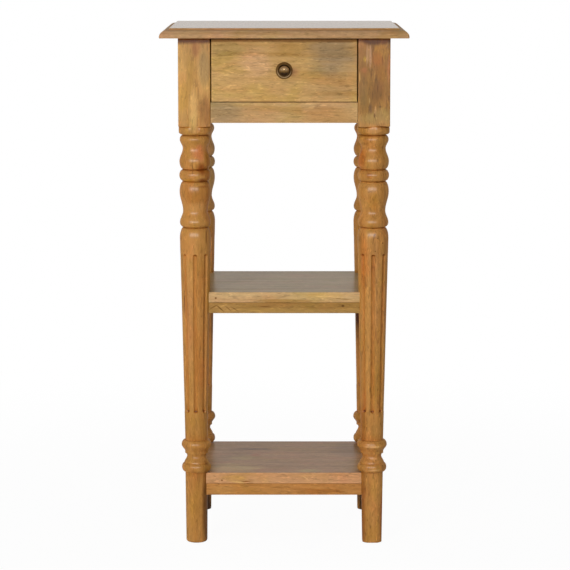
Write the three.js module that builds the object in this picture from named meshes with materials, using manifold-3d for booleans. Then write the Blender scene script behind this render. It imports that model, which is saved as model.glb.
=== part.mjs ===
// A tall telephone table in solid hardwood: four turned and fluted legs, a moulded top,
// one drawer and two open shelves. Millimetres, +Z up. The front faces -Y, +X is to the
// right of someone who stands before it, and the origin is on the floor under its middle.

import * as THREE from 'three';
import { mergeVertices, toCreasedNormals } from 'three/addons/utils/BufferGeometryUtils.js';
import Module from 'manifold-3d';

const wasm = await Module();
wasm.setup();

// Overall sizes
const total_height = 850;
const top_width = 400;
const top_depth = 350;
const top_overhang = 29;

// Fits shared by the joints
const glue_line = 0.3;
const mortise_end_room = 1;
const cut_overrun = 5;

// Top panel and its moulded edge
const top_thickness = 16;
const top_edge_lip = 2;
const top_under_ease = 1;
const ovolo_width = 13.5;
const ovolo_height = 11;
const quirk_ledge = 2;
const ovolo_steps = 5;

// Leg block and foot
const block_size = 52;
const block_edge_ease = 1.2;
const block_length = 143;
const foot_height = 118.5;
const foot_top_size = 36.8;
const foot_bottom_size = 33.4;
const foot_bottom_ease = 1.5;
const foot_corner_share = 1.08;

// Turned work under the block: lengths down the leg, and radii
const kerf_width = 2.4;
const kerf_radius = 27.2;
const collar_flat = 4.6;
const collar_radius = 27.8;
const collar_roll = 7.8;
const groove_radius = 18.7;
const upper_bead_roll = 7.7;
const upper_bead_radius = 24.7;
const upper_bead_sweep = 14;
const neck_radius = 20;
const belly_sweep = 21.5;
const belly_radius = 25.4;
const belly_roll = 13;
const ring_half_height = 9.6;
const ring_radius = 25.7;
const vase_roll = 17.3;
const vase_radius = 25.4;
const vase_sweep = 31.3;
const lower_bead_sweep = 19;
const lower_bead_radius = 25.1;
const lower_bead_roll = 7.7;
const shoulder_roll = 18.5;
const shoulder_radius = 25.4;

// Turned work over the foot: lengths up the leg, and radii
const ankle_groove_radius = 18;
const foot_bead_roll_up = 7.5;
const foot_bead_radius = 24;
const foot_bead_roll_in = 7;
const foot_quirk_radius = 20.2;
const waist_rise = 12.5;
const waist_radius = 15.5;
const waist_upper_rise = 4.5;
const waist_upper_radius = 16.8;
const fillet_radius = 18.8;
const fillet_height = 2.5;
const ankle_bead_sweep = 11.5;
const ankle_bead_radius = 24.5;
const ankle_bead_roll = 8.5;
const column_foot_radius = 18.4;

// Facets of the turned work
const leg_sides = 16;
const leg_facet_length = 7.5;
const brass_sides = 16;
const brass_facet_length = 1.7;
const least_curve_steps = 2;

// Flutes cut in the tapering column
const flute_count = 8;
const flute_width = 7.6;
const flute_depth = 2.3;
const flute_top_margin = 24;
const flute_bottom_margin = 46;
const flute_cutter_sides = 8;
const flute_end_steps = 2;

// Rail and aprons that join the leg blocks
const frame_drop = 137;
const apron_thickness = 18;
const apron_setback = 3;
const rail_thickness = 20;
const rail_height = 33;
const tenon_thickness = 8;
const tenon_length = 20;
const apron_tenon_shoulder = 12;
const rail_tenon_shoulder = 5;

// Drawer
const drawer_side_gap = 1.7;
const drawer_top_gap = 2.5;
const drawer_bottom_gap = 1.2;
const drawer_face_ease = 1;
const drawer_front_thickness = 18;
const drawer_front_lap = 9;
const drawer_side_thickness = 10;
const drawer_side_inset = 3;
const drawer_side_drop = 4;
const drawer_back_thickness = 10;
const drawer_back_inset = 6;
const drawer_back_housing = 4;
const drawer_bottom_thickness = 5;
const drawer_bottom_lift = 8;
const drawer_groove_depth = 5;

// Runners, guides and stops that carry the drawer
const running_gap = 0.4;
const runner_width = 14.5;
const runner_height = 20;
const runner_tenon_length = 6;
const runner_tenon_shoulder = 4;
const guide_play = 1.3;
const guide_height = 20;
const stop_length = 20;
const stop_height = 12;

// Battens that hold the top down
const batten_width = 20;
const batten_height = 20;
const batten_end_room = 4;

// Shelves
const shelf_projection = 9;
const shelf_edge_ease = 1;
const shelf_rail_recess = 1;
const shelf_rail_thickness = 20;
const shelf_rail_corner_room = 3;
const middle_shelf_height = 418.5;
const middle_board_thickness = 17;
const middle_rail_height = 17.5;
const lower_shelf_drop = 1.2;
const lower_board_thickness = 18.3;
const lower_rail_height = 19;

// Wood screws
const screw_radius = 2;
const screw_head_radius = 4;
const screw_head_height = 2.6;
const screw_point_length = 4;
const screw_bite = 10;
const screw_sides = 8;
const guide_screw_inset = 38;
const batten_screw_inset = 25;
const shelf_screw_inset = 48;

// Rosette, knob and the screw that holds them
const rosette_radius = 13.8;
const rosette_edge_height = 1.4;
const rosette_rim_radius = 11.4;
const rosette_rim_height = 3.4;
const rosette_dish_radius = 9.2;
const rosette_dish_height = 1.4;
const rosette_boss_radius = 4.6;
const rosette_boss_height = 3;
const knob_neck_radius = 3.4;
const knob_neck_length = 5;
const knob_radius = 8;
const knob_length = 13.5;
const knob_thread_length = 11;
const knob_screw_head_height = 2.4;

// Places worked out from the sizes above
const frame_height = total_height - top_thickness;
const block_half = block_size / 2;
const leg_x = top_width / 2 - top_overhang - block_half;
const leg_y = top_depth / 2 - top_overhang - block_half;
const leg_top = frame_height - glue_line;
const block_bottom = frame_height - block_length;
const frame_bottom = frame_height - frame_drop;
const rail_top = frame_bottom + rail_height;
const front_face = -leg_y - block_half;
const opening_half = leg_x - block_half;
const side_opening_half = leg_y - block_half;
const apron_offset = block_half - apron_setback - apron_thickness / 2;
const apron_inner_x = leg_x + apron_offset - apron_thickness / 2;
const apron_inner_y = leg_y + apron_offset - apron_thickness / 2;
const apron_height = leg_top - frame_bottom;
const rail_offset = block_half - rail_thickness / 2;
const rail_back_face = front_face + rail_thickness;
const shelf_rail_offset = shelf_projection - shelf_rail_recess - shelf_rail_thickness / 2;
const shelf_rail_stop = shelf_rail_thickness / 2 - shelf_rail_offset + shelf_rail_corner_room;
const drawer_base = rail_top + drawer_bottom_gap;
const drawer_front_half = opening_half - drawer_side_gap;
const drawer_front_height = frame_height - drawer_top_gap - drawer_base;
const drawer_box_half = opening_half - drawer_side_inset;
const drawer_inner_half = drawer_box_half - drawer_side_thickness;
const drawer_side_height = drawer_front_height - drawer_side_drop;
const stop_front = apron_inner_y - glue_line - stop_length;
const drawer_length = stop_front - running_gap - front_face;
const runner_top = drawer_base - running_gap;
const runner_x = opening_half - glue_line - runner_width / 2;
const runner_span = apron_inner_y - rail_back_face;
const runner_y = (apron_inner_y + rail_back_face) / 2;
const runner_z = runner_top - runner_height / 2;
const guide_inner_x = drawer_box_half + guide_play;
const guide_width = apron_inner_x - glue_line - guide_inner_x;
const guide_base = runner_top + glue_line;
const guide_length = 2 * side_opening_half - 2 * glue_line;
const guide_screw_y = guide_length / 2 - guide_screw_inset;
const guide_screw_z = guide_base + guide_height / 2;
const guide_screw_length = guide_width + glue_line + screw_bite;
const batten_x = apron_inner_x - glue_line - batten_width / 2;
const batten_base = leg_top - batten_height;
const batten_length = 2 * side_opening_half - 2 * batten_end_room;
const batten_screw_y = batten_length / 2 - batten_screw_inset;
const batten_screw_length = batten_height + glue_line + screw_bite;

// Shelves from the top down, and what each is made of
const shelf_levels = [
  {
    name: 'middle',
    board_top: middle_shelf_height,
    board_thickness: middle_board_thickness,
    rail_depth: middle_rail_height,
  },
  {
    name: 'lower',
    board_top: foot_height - lower_shelf_drop,
    board_thickness: lower_board_thickness,
    rail_depth: lower_rail_height,
  },
];

// Wood and metal finishes
const honey_wood = { color: 0xc09a62, roughness: 0.5, metalness: 0 };
const turned_wood = { color: 0xb58049, roughness: 0.45, metalness: 0 };
const shelf_wood = { color: 0xb8925f, roughness: 0.5, metalness: 0 };
const plain_wood = { color: 0xcdb083, roughness: 0.7, metalness: 0 };
const aged_brass = { color: 0x7d6238, roughness: 0.4, metalness: 1 };
const steel = { color: 0xa9abad, roughness: 0.35, metalness: 1 };

const quarter_turn = Math.PI / 2;
const crease_angle = Math.PI / 5;
const sides_of_table = [['left', -1], ['right', 1]];
const ends_of_row = [['front', -1], ['rear', 1]];

// A closed geometry as a solid that manifold-3d can join and cut.
function solid_of(geometry) {
  const bare = geometry.clone();
  bare.deleteAttribute('normal');
  bare.deleteAttribute('uv');
  const merged = mergeVertices(bare);
  const corners = merged.index.array;
  const kept = [];
  for (let i = 0; i < corners.length; i += 3) {
    const [a, b, c] = [corners[i], corners[i + 1], corners[i + 2]];
    if (a !== b && b !== c && c !== a) kept.push(a, b, c);
  }
  return new wasm.Manifold(new wasm.Mesh({
    numProp: 3,
    vertProperties: merged.attributes.position.array,
    triVerts: new Uint32Array(kept),
  }));
}

// A solid back as a three.js geometry.
function geometry_of(solid) {
  const mesh = solid.getMesh();
  const geometry = new THREE.BufferGeometry();
  geometry.setAttribute('position', new THREE.BufferAttribute(mesh.vertProperties, mesh.numProp));
  geometry.setIndex(new THREE.BufferAttribute(mesh.triVerts, 1));
  return geometry;
}

function joined(first, ...others) {
  return geometry_of(others.reduce((whole, part) => whole.add(solid_of(part)), solid_of(first)));
}

function carved(body, cutters) {
  return geometry_of(cutters.reduce((left, cutter) => left.subtract(solid_of(cutter)), solid_of(body)));
}

function common(first, second) {
  return geometry_of(solid_of(first).intersect(solid_of(second)));
}

// One named piece of the table. Its place is the mesh's, and it may be turned about Z.
function piece(name, geometry, finish, [x, y, z] = [0, 0, 0], turn = 0) {
  const shape = toCreasedNormals(geometry, crease_angle);
  const mesh = new THREE.Mesh(shape, new THREE.MeshStandardMaterial(finish));
  mesh.name = name;
  mesh.position.set(x, y, z);
  mesh.rotation.z = turn;
  return mesh;
}

// A box between two corners, given in any order.
function box([x0, y0, z0], [x1, y1, z1]) {
  const geometry = new THREE.BoxGeometry(Math.abs(x1 - x0), Math.abs(y1 - y0), Math.abs(z1 - z0));
  return geometry.translate((x0 + x1) / 2, (y0 + y1) / 2, (z0 + z1) / 2);
}

// A solid through rectangles that lie one over the other: each level is { x, y, z }, where x
// and y are half sizes.
function stacked_rectangles(levels) {
  const positions = [];
  for (const { x, y, z } of levels) positions.push(-x, -y, z, x, -y, z, x, y, z, -x, y, z);
  const index = [0, 2, 1, 0, 3, 2];
  for (let level = 0; level + 1 < levels.length; level++) {
    for (let side = 0; side < 4; side++) {
      const a = 4 * level + side;
      const b = 4 * level + (side + 1) % 4;
      index.push(a, b, b + 4, a, b + 4, a + 4);
    }
  }
  const last = 4 * (levels.length - 1);
  index.push(last, last + 1, last + 2, last, last + 2, last + 3);
  const geometry = new THREE.BufferGeometry();
  geometry.setAttribute('position', new THREE.Float32BufferAttribute(positions, 3));
  geometry.setIndex(index);
  return geometry;
}

// A point of a turner's profile.
const at = (radius, height) => new THREE.Vector2(radius, height);

// A profile turned about Z. It runs from the axis up to the axis, or closes on itself.
function turned(points, sides) {
  return new THREE.LatheGeometry(points, sides).rotateX(quarter_turn);
}

const share_between = (from, to, share) => from + (to - from) * share;

// The curves of a turner's profile. Each maps the share of its steps that are done onto the
// share of the radius and the share of the length that it has covered.
const straight = (done) => [done, done];
const roll_out = (done) => [Math.sin(done * quarter_turn), 1 - Math.cos(done * quarter_turn)];
const roll_in = (done) => [1 - Math.cos(done * quarter_turn), Math.sin(done * quarter_turn)];
const sweep = (done) => [(1 - Math.cos(done * Math.PI)) / 2, done];

// Follows cuts of [curve, length, radius] from a start point. Lengths count up the axis times
// the direction, each cut ends at its radius, and a curve's facets are about as long as given.
function follow_cuts(start, direction, facet_length, cuts) {
  const points = [start];
  for (const [curve, length, radius] of cuts) {
    const from = points.at(-1);
    const fair_steps = Math.max(least_curve_steps, Math.round(Math.abs(length) / facet_length));
    const steps = curve === straight ? 1 : fair_steps;
    for (let step = 1; step <= steps; step++) {
      const [radius_share, length_share] = curve(step / steps);
      const height = from.y + direction * length * length_share;
      points.push(at(share_between(from.x, radius, radius_share), height));
    }
  }
  return points;
}

// From the block's kerf down to the shoulder: collar, bead, belly, ring, vase and bead.
const kerf_edge = at(Math.SQRT2 * block_half - block_edge_ease, block_bottom);
const upper_turning = follow_cuts(kerf_edge, -1, leg_facet_length, [
  [straight, kerf_width / 2, kerf_radius],
  [straight, kerf_width / 2, collar_radius],
  [straight, collar_flat, collar_radius],
  [roll_in, collar_roll, groove_radius],
  [roll_out, upper_bead_roll, upper_bead_radius],
  [sweep, upper_bead_sweep, neck_radius],
  [sweep, belly_sweep, belly_radius],
  [roll_in, belly_roll, groove_radius],
  [roll_out, ring_half_height, ring_radius],
  [roll_in, ring_half_height, groove_radius],
  [roll_out, vase_roll, vase_radius],
  [sweep, vase_sweep, neck_radius],
  [sweep, lower_bead_sweep, lower_bead_radius],
  [roll_in, lower_bead_roll, groove_radius],
  [roll_out, shoulder_roll, shoulder_radius],
]);

// From the groove over the foot up to the column: bead, waist, fillet and bead.
const lower_turning = follow_cuts(at(ankle_groove_radius, foot_height), 1, leg_facet_length, [
  [roll_out, foot_bead_roll_up, foot_bead_radius],
  [roll_in, foot_bead_roll_in, foot_quirk_radius],
  [sweep, waist_rise, waist_radius],
  [straight, waist_upper_rise, waist_upper_radius],
  [straight, 0, fillet_radius],
  [straight, fillet_height, fillet_radius],
  [sweep, ankle_bead_sweep, ankle_bead_radius],
  [roll_in, ankle_bead_roll, column_foot_radius],
]);

const column_top = upper_turning.at(-1);
const column_foot = lower_turning.at(-1);
const column_slope = (column_top.x - column_foot.x) / (column_top.y - column_foot.y);
const column_radius_at = (height) => column_foot.x + (height - column_foot.y) * column_slope;

// The outside of a leg before it is fluted and mortised: a square billet, turned where the
// profile lies inside it. The form can be grown by the room that a neighbour keeps.
function leg_form(room = 0) {
  const foot_top_half = foot_top_size / 2;
  const foot_bottom_half = foot_bottom_size / 2;
  const profile = [
    at(foot_corner_share * foot_bottom_half - foot_bottom_ease, 0),
    at(foot_corner_share * foot_bottom_half, foot_bottom_ease),
    at(foot_corner_share * foot_top_half, foot_height),
    ...lower_turning,
    ...[...upper_turning].reverse(),
    at(upper_turning[0].x, leg_top),
  ].map((point) => at(point.x + room, point.y));
  const turning = turned([at(0, 0), ...profile, at(0, leg_top)], leg_sides);
  const level = (half, z) => ({ x: half + room, y: half + room, z });
  const billet = stacked_rectangles([
    level(foot_bottom_half - foot_bottom_ease, 0),
    level(foot_bottom_half, foot_bottom_ease),
    level(foot_top_half, foot_height),
    level(block_half, foot_height),
    level(block_half, leg_top),
  ]);
  return common(turning, billet);
}

// The flutes: a round-ended cutter sunk along the taper, once for each flute.
function flute_cutters() {
  const radius = (flute_width ** 2 / 4 + flute_depth ** 2) / (2 * flute_depth);
  const low = column_foot.y + flute_bottom_margin + flute_width / 2;
  const high = column_top.y - flute_top_margin - flute_width / 2;
  const middle = (low + high) / 2;
  const cutter = new THREE.CapsuleGeometry(radius, high - low, flute_end_steps, flute_cutter_sides);
  cutter.rotateX(quarter_turn);
  cutter.rotateY(Math.atan(column_slope));
  cutter.translate(column_radius_at(middle) + radius - flute_depth, 0, middle);
  const cutters = [];
  for (let flute = 0; flute < flute_count; flute++) {
    cutters.push(cutter.clone().rotateZ(flute / flute_count * 2 * Math.PI));
  }
  return cutters;
}

// The mortises of one leg: apron and rail tenons in its block, and shelf rails let in lower
// down. Inward X and Y point from the leg's axis towards the middle of the table.
function leg_mortises(side_x, side_y) {
  const inward_box = (along_x, along, across, low, high) => {
    const [x, y] = along_x ? [along, across] : [across, along];
    return box([-side_x * x[0], -side_y * y[0], low], [-side_x * x[1], -side_y * y[1], high]);
  };
  const out_of_leg = block_half + cut_overrun;
  const tenon_reach = [block_half - tenon_length - mortise_end_room, out_of_leg];
  const tenon_across = (offset) => [
    -offset - tenon_thickness / 2 - glue_line,
    -offset + tenon_thickness / 2 + glue_line,
  ];
  const apron_low = frame_bottom + apron_tenon_shoulder - glue_line;
  const apron_high = leg_top - apron_tenon_shoulder + glue_line;
  const rail_low = frame_bottom + rail_tenon_shoulder - glue_line;
  const rail_high = rail_top - rail_tenon_shoulder + glue_line;
  const in_apron = tenon_across(apron_offset);
  const in_rail = tenon_across(rail_offset);
  const mortises = [inward_box(false, tenon_reach, in_apron, apron_low, apron_high)];
  if (side_y < 0) mortises.push(inward_box(true, tenon_reach, in_rail, rail_low, rail_high));
  if (side_y > 0) mortises.push(inward_box(true, tenon_reach, in_apron, apron_low, apron_high));
  const shelf_reach = [shelf_rail_stop - mortise_end_room, out_of_leg];
  const shelf_across = [
    -shelf_rail_offset - shelf_rail_thickness / 2 - glue_line,
    -shelf_rail_offset + shelf_rail_thickness / 2 + glue_line,
  ];
  for (const { board_top, board_thickness, rail_depth } of shelf_levels) {
    const high = board_top - board_thickness;
    const low = high - rail_depth - 2 * glue_line;
    mortises.push(inward_box(true, shelf_reach, shelf_across, low, high));
    mortises.push(inward_box(false, shelf_reach, shelf_across, low, high));
  }
  return mortises;
}

function make_legs() {
  const legs = new THREE.Group();
  const fluted = carved(leg_form(), flute_cutters());
  for (const [row, side_y] of ends_of_row) {
    for (const [hand, side_x] of sides_of_table) {
      const leg = carved(fluted, leg_mortises(side_x, side_y));
      legs.add(piece(`leg_${row}_${hand}`, leg, turned_wood, [side_x * leg_x, side_y * leg_y, 0]));
    }
  }
  return legs;
}

// A countersunk wood screw that points up Z from its head, or the hole that it needs when it
// is grown by a room.
function screw(length, room = 0) {
  return turned([
    at(0, -room),
    at(screw_head_radius + room, -room),
    at(screw_radius + room, screw_head_height),
    at(screw_radius + room, length - screw_point_length + room),
    at(0, length + room),
  ], screw_sides);
}

// The four places, one to each quarter of the table, that lie x and y from its middle.
function four_places(x, y) {
  return sides_of_table.flatMap(([hand, side]) => ends_of_row.map(([row, end]) => (
    { label: `${row}_${hand}`, side, x: side * x, y: end * y }
  )));
}

// The top panel about the middle of its underside. Its edge is an ovolo under a small quirk,
// run round all four sides.
function make_top() {
  const level = (inset, z) => ({ x: top_width / 2 - inset, y: top_depth / 2 - inset, z });
  const levels = [level(top_under_ease, 0), level(0, top_under_ease), level(0, top_edge_lip)];
  for (let step = 1; step <= ovolo_steps; step++) {
    const [inset_share, height_share] = roll_in(step / ovolo_steps);
    levels.push(level(ovolo_width * inset_share, top_edge_lip + ovolo_height * height_share));
  }
  levels.push(level(ovolo_width + quirk_ledge, top_edge_lip + ovolo_height));
  levels.push(level(ovolo_width + quirk_ledge, top_thickness));
  const holes = four_places(batten_x, batten_screw_y).map(({ x, y }) => (
    screw(batten_screw_length, glue_line).translate(x, y, batten_base - frame_height)
  ));
  const panel = carved(stacked_rectangles(levels), holes);
  return piece('top_panel', panel, honey_wood, [0, 0, frame_height]);
}

// A bar with a tenon at each end, along X about its own middle. It spans from shoulder to
// shoulder less the glue lines.
function tenoned_bar(span, width, height, tenon) {
  const bar = new THREE.BoxGeometry(span - 2 * glue_line, width, height);
  const tenons = new THREE.BoxGeometry(span + 2 * tenon.length, tenon.width, tenon.height);
  return joined(bar, tenons);
}

// The blind mortises for the two runners, in a board that stands across them. The board faces
// the runners with the side of its own thickness that the sign of facing gives.
function runner_mortises(thickness, facing, board_middle_z) {
  const half_x = runner_width / 2 - runner_tenon_shoulder + glue_line;
  const half_z = runner_height / 2 - runner_tenon_shoulder + glue_line;
  const z = runner_z - board_middle_z;
  const face = facing * thickness / 2;
  return sides_of_table.map(([, side]) => box(
    [side * runner_x - half_x, face - facing * (runner_tenon_length + mortise_end_room), z - half_z],
    [side * runner_x + half_x, face + facing * cut_overrun, z + half_z],
  ));
}

// The aprons and the rail under the drawer, tenoned into the leg blocks.
function make_frame() {
  const frame = new THREE.Group();
  const apron_tenon = {
    length: tenon_length,
    width: tenon_thickness,
    height: apron_height - 2 * apron_tenon_shoulder,
  };
  const apron_z = frame_bottom + apron_height / 2;
  const rail_z = frame_bottom + rail_height / 2;

  const rail_tenon = { ...apron_tenon, height: rail_height - 2 * rail_tenon_shoulder };
  const rail_bar = tenoned_bar(2 * opening_half, rail_thickness, rail_height, rail_tenon);
  const rail = carved(rail_bar, runner_mortises(rail_thickness, 1, rail_z));
  frame.add(piece('drawer_rail', rail, honey_wood, [0, -leg_y - rail_offset, rail_z]));

  const back_bar = tenoned_bar(2 * opening_half, apron_thickness, apron_height, apron_tenon);
  const back = carved(back_bar, runner_mortises(apron_thickness, -1, apron_z));
  frame.add(piece('back_apron', back, honey_wood, [0, leg_y + apron_offset, apron_z]));

  const side_bar = tenoned_bar(2 * side_opening_half, apron_thickness, apron_height, apron_tenon);
  for (const [hand, side] of sides_of_table) {
    const holes = ends_of_row.map(([, end]) => guide_screw(side, glue_line).translate(
      side * (guide_inner_x - leg_x - apron_offset), end * guide_screw_y, guide_screw_z - apron_z,
    ));
    const apron = carved(side_bar.clone().rotateZ(quarter_turn), holes);
    frame.add(piece(`side_apron_${hand}`, apron, honey_wood, [side * (leg_x + apron_offset), 0, apron_z]));
  }
  return frame;
}

// A guide's screw, which points out to its own side of the table from its head.
function guide_screw(side, room = 0) {
  return screw(guide_screw_length, room).rotateY(side * quarter_turn);
}

// What carries the drawer: runners tenoned between rail and back apron, guides screwed to the
// side aprons, and stops glued on the runners behind the drawer's sides.
function make_drawer_bearers() {
  const bearers = new THREE.Group();
  const runner_tenon = {
    length: runner_tenon_length,
    width: runner_width - 2 * runner_tenon_shoulder,
    height: runner_height - 2 * runner_tenon_shoulder,
  };
  const runner = tenoned_bar(runner_span, runner_width, runner_height, runner_tenon);
  for (const [hand, side] of sides_of_table) {
    bearers.add(piece(
      `runner_${hand}`, runner, plain_wood, [side * runner_x, runner_y, runner_z], quarter_turn,
    ));
    bearers.add(piece(
      `drawer_stop_${hand}`,
      new THREE.BoxGeometry(runner_width, stop_length, stop_height),
      plain_wood,
      [side * runner_x, stop_front + stop_length / 2, guide_base + stop_height / 2],
    ));
    const holes = ends_of_row.map(([, end]) => guide_screw(side, glue_line).translate(
      -side * guide_width / 2, end * guide_screw_y, 0,
    ));
    bearers.add(piece(
      `guide_${hand}`,
      carved(new THREE.BoxGeometry(guide_width, guide_length, guide_height), holes),
      plain_wood,
      [side * (guide_inner_x + guide_width / 2), 0, guide_screw_z],
    ));
  }
  for (const { label, side, y } of four_places(guide_inner_x, guide_screw_y)) {
    const place = [side * guide_inner_x, y, guide_screw_z];
    bearers.add(piece(`guide_screw_${label}`, guide_screw(side), steel, place));
  }
  return bearers;
}

// The battens along the side aprons, and the screws that go up through them into the top.
function make_battens() {
  const battens = new THREE.Group();
  for (const [hand, side] of sides_of_table) {
    const holes = ends_of_row.map(([, end]) => screw(batten_screw_length, glue_line).translate(
      0, end * batten_screw_y, -batten_height / 2,
    ));
    const batten = carved(new THREE.BoxGeometry(batten_width, batten_length, batten_height), holes);
    const place = [side * batten_x, 0, batten_base + batten_height / 2];
    battens.add(piece(`top_batten_${hand}`, batten, plain_wood, place));
  }
  for (const { label, x, y } of four_places(batten_x, batten_screw_y)) {
    battens.add(piece(`top_screw_${label}`, screw(batten_screw_length), steel, [x, y, batten_base]));
  }
  return battens;
}

// One shelf about the middle of its board's upper face: a board notched round the legs, on
// four rails that are let into them, held by screws through the side rails.
function make_shelf({ name, board_top, board_thickness, rail_depth }, leg_room) {
  const shelf = new THREE.Group();
  shelf.position.z = board_top;
  const rail_x = leg_x + shelf_rail_offset;
  const rail_y = leg_y + shelf_rail_offset;
  const rail_base = -board_thickness - glue_line - rail_depth;
  const screw_length = rail_depth + glue_line + screw_bite;

  const level = (inset, z) => (
    { x: leg_x + shelf_projection - inset, y: leg_y + shelf_projection - inset, z }
  );
  const blank = stacked_rectangles([
    level(0, -board_thickness), level(0, -shelf_edge_ease), level(shelf_edge_ease, 0),
  ]);
  const notches = four_places(leg_x, leg_y).map(({ x, y }) => (
    leg_room.clone().translate(x, y, -board_top)
  ));
  const screw_y = leg_y - shelf_rail_stop - shelf_screw_inset;
  const places = four_places(rail_x, screw_y);
  const holes = places.map(({ x, y }) => screw(screw_length, glue_line).translate(x, y, rail_base));
  shelf.add(piece(`${name}_shelf_board`, carved(blank, [...notches, ...holes]), shelf_wood));

  const rail_z = rail_base + rail_depth / 2;
  const across = new THREE.BoxGeometry(2 * (leg_x - shelf_rail_stop), shelf_rail_thickness, rail_depth);
  for (const [row, end] of ends_of_row) {
    shelf.add(piece(`${name}_shelf_rail_${row}`, across, shelf_wood, [0, end * rail_y, rail_z]));
  }
  const along = new THREE.BoxGeometry(shelf_rail_thickness, 2 * (leg_y - shelf_rail_stop), rail_depth);
  for (const [hand, side] of sides_of_table) {
    const rail_holes = ends_of_row.map(([, end]) => screw(screw_length, glue_line).translate(
      0, end * screw_y, -rail_depth / 2,
    ));
    const rail = carved(along, rail_holes);
    shelf.add(piece(`${name}_shelf_rail_${hand}`, rail, shelf_wood, [side * rail_x, 0, rail_z]));
  }
  for (const { label, x, y } of places) {
    shelf.add(piece(`${name}_shelf_screw_${label}`, screw(screw_length), steel, [x, y, rail_base]));
  }
  return shelf;
}

// The drawer about the middle of its front's lower edge. +Y runs back into the table.
function make_drawer() {
  const drawer = new THREE.Group();
  drawer.position.set(0, front_face, drawer_base);
  const groove_low = drawer_bottom_lift;
  const groove_high = drawer_bottom_lift + drawer_bottom_thickness + 2 * glue_line;
  const back_rear = drawer_length - drawer_back_inset;
  const back_front = back_rear - drawer_back_thickness;
  const knob_height = drawer_front_height / 2;

  const level = (inset, depth) => (
    { x: drawer_front_half - inset, y: drawer_front_height / 2 - inset, z: depth }
  );
  const blank = stacked_rectangles([
    level(drawer_face_ease, 0), level(0, drawer_face_ease), level(0, drawer_front_thickness),
  ]);
  blank.rotateX(-quarter_turn).translate(0, 0, knob_height);
  const behind = drawer_front_thickness + cut_overrun;
  const rebates = sides_of_table.map(([, side]) => box(
    [side * (drawer_inner_half - glue_line), drawer_front_lap, -cut_overrun],
    [side * (drawer_front_half + cut_overrun), behind, drawer_front_height + cut_overrun],
  ));
  const front_groove = box(
    [-drawer_box_half, drawer_front_thickness - drawer_groove_depth, groove_low],
    [drawer_box_half, behind, groove_high],
  );
  const hole = new THREE.CylinderGeometry(
    screw_radius + glue_line, screw_radius + glue_line, 2 * behind, screw_sides,
  ).translate(0, 0, knob_height);
  drawer.add(piece('drawer_front', carved(blank, [...rebates, front_groove, hole]), honey_wood));

  for (const [hand, side] of sides_of_table) {
    const inside = side * (drawer_inner_half - cut_overrun);
    const plank = box(
      [side * drawer_inner_half, drawer_front_lap + glue_line, 0],
      [side * drawer_box_half, drawer_length, drawer_side_height],
    );
    const groove = box(
      [inside, 0, groove_low],
      [side * (drawer_inner_half + drawer_groove_depth), drawer_length + cut_overrun, groove_high],
    );
    const housing = box(
      [inside, back_front - glue_line, groove_low],
      [
        side * (drawer_inner_half + drawer_back_housing + glue_line),
        back_rear + glue_line,
        drawer_side_height + cut_overrun,
      ],
    );
    drawer.add(piece(`drawer_side_${hand}`, carved(plank, [groove, housing]), plain_wood));
  }

  const back_half = drawer_inner_half + drawer_back_housing;
  drawer.add(piece('drawer_back', box(
    [-back_half, back_front, groove_high], [back_half, back_rear, drawer_side_height],
  ), plain_wood));
  const panel_half = drawer_inner_half + drawer_groove_depth - glue_line;
  const panel_front = drawer_front_thickness - drawer_groove_depth + glue_line;
  drawer.add(piece('drawer_bottom', box(
    [-panel_half, panel_front, groove_low + glue_line],
    [panel_half, back_rear, groove_high - glue_line],
  ), plain_wood));

  const furniture = make_knob();
  furniture.position.z = knob_height;
  drawer.add(furniture);
  return drawer;
}

// The knob on its rosette, turned about an axis that runs out of the drawer's face, and the
// screw that holds them from inside. The group's origin is on the face.
function make_knob() {
  const group = new THREE.Group();
  group.rotation.x = quarter_turn;
  const bore = screw_radius + glue_line;

  const rosette = turned(follow_cuts(at(rosette_radius, 0), 1, brass_facet_length, [
    [straight, rosette_edge_height, rosette_radius],
    [sweep, rosette_rim_height - rosette_edge_height, rosette_rim_radius],
    [sweep, rosette_dish_height - rosette_rim_height, rosette_dish_radius],
    [straight, 0, rosette_boss_radius],
    [straight, rosette_boss_height - rosette_dish_height, rosette_boss_radius],
    [straight, 0, bore],
    [straight, -rosette_boss_height, bore],
    [straight, 0, rosette_radius],
  ]), brass_sides);
  group.add(piece('knob_rosette', rosette, aged_brass, [0, 0, glue_line]));

  const bore_depth = knob_thread_length + glue_line;
  const knob = turned([
    at(0, bore_depth),
    at(bore, bore_depth),
    at(bore, 0),
    ...follow_cuts(at(knob_neck_radius, 0), 1, brass_facet_length, [
      [straight, knob_neck_length, knob_neck_radius],
      [roll_out, knob_length / 2, knob_radius],
      [roll_in, knob_length / 2, 0],
    ]),
  ], brass_sides);
  const knob_base = 2 * glue_line + rosette_boss_height;
  group.add(piece('knob', knob, aged_brass, [0, 0, knob_base]));

  const head_base = -drawer_front_thickness - glue_line;
  const screw_end = knob_base + knob_thread_length;
  group.add(piece('knob_screw', turned([
    at(0, head_base - knob_screw_head_height),
    at(screw_head_radius, head_base - knob_screw_head_height),
    at(screw_head_radius, head_base),
    at(screw_radius, head_base),
    at(screw_radius, screw_end),
    at(0, screw_end),
  ], screw_sides), steel));
  return group;
}

function make_table() {
  const table = new THREE.Group();
  const leg_room = leg_form(glue_line);
  table.add(make_top(), make_legs(), make_frame(), make_drawer_bearers(), make_battens());
  for (const level of shelf_levels) table.add(make_shelf(level, leg_room));
  table.add(make_drawer());
  return table;
}

export default make_table();
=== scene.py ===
"""A tall telephone table in honey-coloured hardwood, made the way it is put together: legs, rail and aprons,
drawer bearers, battens, shelves, top, drawer and knob. Metres, +Z up, the front faces -Y."""

import math

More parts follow.
